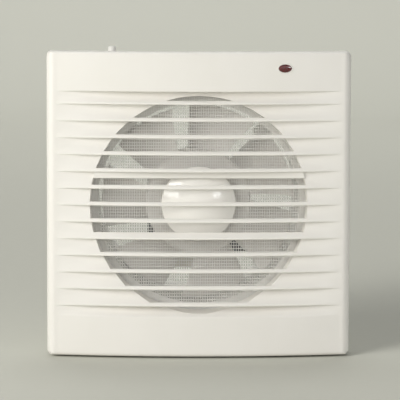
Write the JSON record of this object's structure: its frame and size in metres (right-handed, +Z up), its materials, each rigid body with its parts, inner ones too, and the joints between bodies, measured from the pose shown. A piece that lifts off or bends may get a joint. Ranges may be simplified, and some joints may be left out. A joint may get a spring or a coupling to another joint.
{
  "type": "bathroom extractor fan",
  "caption": "Square wall fan with a bowed louvred front cover, insect net, bladed impeller on a shaded-pole motor, push button and round duct spigot behind.",
  "frame": {"origin": "centre of the duct spigot in the wall plane, at the housing's back face", "axes": "+X to the right seen from the room, +Y into the duct along the spigot, +Z up"},
  "size_m": [0.18, 0.0911, 0.1833],
  "materials": {
    "cover": "satin white moulded plastic",
    "cap": "glossy white moulded plastic",
    "housing": "satin white moulded plastic",
    "bracket": "matte moulded plastic",
    "impeller": "satin greyish white moulded plastic",
    "net": "fine woven plastic thread",
    "lens": "glossy dark red translucent plastic",
    "button": "satin white moulded plastic",
    "screws": "zinc plated steel",
    "laminations": "stacked electrical steel",
    "zinc": "cast metal",
    "spring_steel": "spring steel",
    "shaft": "ground steel",
    "rotor": "turned metal",
    "bronze": "sintered bronze",
    "brass": "machined brass",
    "copper": "bare copper",
    "bobbin": "glass-filled plastic",
    "winding": "varnished tape over a copper winding",
    "terminal_body": "matte moulded plastic",
    "rubber": "black rubber",
    "board": "lacquered circuit board",
    "lamp": "clear red epoxy",
    "resistor": "coated resistor body",
    "lead": "insulated wire",
    "washer": "nylon washer"
  },
  "bodies": {
    "base": {"back_plate": "housing", "cable_entry": "housing", "housing_walls": "housing", "housing_seats": "housing", "duct_mouth": "housing", "duct_tube": "housing", "bracket_bosses": "housing", "motor_bracket": "bracket", "bracket_screws": "screws", "stator_stack": "laminations", "coil_bobbin": "bobbin", "coil_winding": "winding", "shading_rings": "copper", "front_bearing_bracket": "zinc", "rear_bearing_bracket": "zinc", "front_bush": "bronze", "rear_bush": "bronze", "bush_retainers": "spring_steel", "motor_screws": "screws", "terminal_block": "terminal_body", "terminal_screws": "screws", "terminal_clamps": "brass", "cable_clamp": "bracket", "cable_clamp_screws": "screws", "cable_grommet": "rubber", "switch_body": "terminal_body", "switch_terminals": "brass", "led_board": "board", "led_lamp": "lamp", "led_resistor": "resistor", "motor_leads": "lead", "switch_leads": "lead", "led_leads": "lead"},
    "impeller": {"impeller_hub": "impeller", "impeller_blades": "impeller", "rotor": "rotor", "motor_shaft": "shaft", "impeller_lock": "brass", "thrust_washers": "washer"},
    "switch_button": {"switch_plunger": "button", "switch_spring": "spring_steel"},
    "cover": {"front_cover": "cover", "cover_rim": "cover", "led_lens": "lens", "insect_net": "net", "net_ring": "housing", "net_cap": "cap"}
  },
  "joints": [
    {"name": "impeller_spin", "type": "hinge", "parent": "base", "child": "impeller", "pos_m": [0, 0, 0], "axis": [0, 1, 0], "continuous": true},
    {"name": "button_press", "type": "slide", "parent": "base", "child": "switch_button", "axis": [0, 0, -1], "range_m": [0, 0.0022], "stiffness_N_per_m": 300, "springref_m": -0.003, "deforming": ["switch_spring"]},
    {"name": "cover_pull_off", "type": "slide", "parent": "base", "child": "cover", "axis": [0, -1, 0], "range_m": [0, 0.06]}
  ]
}
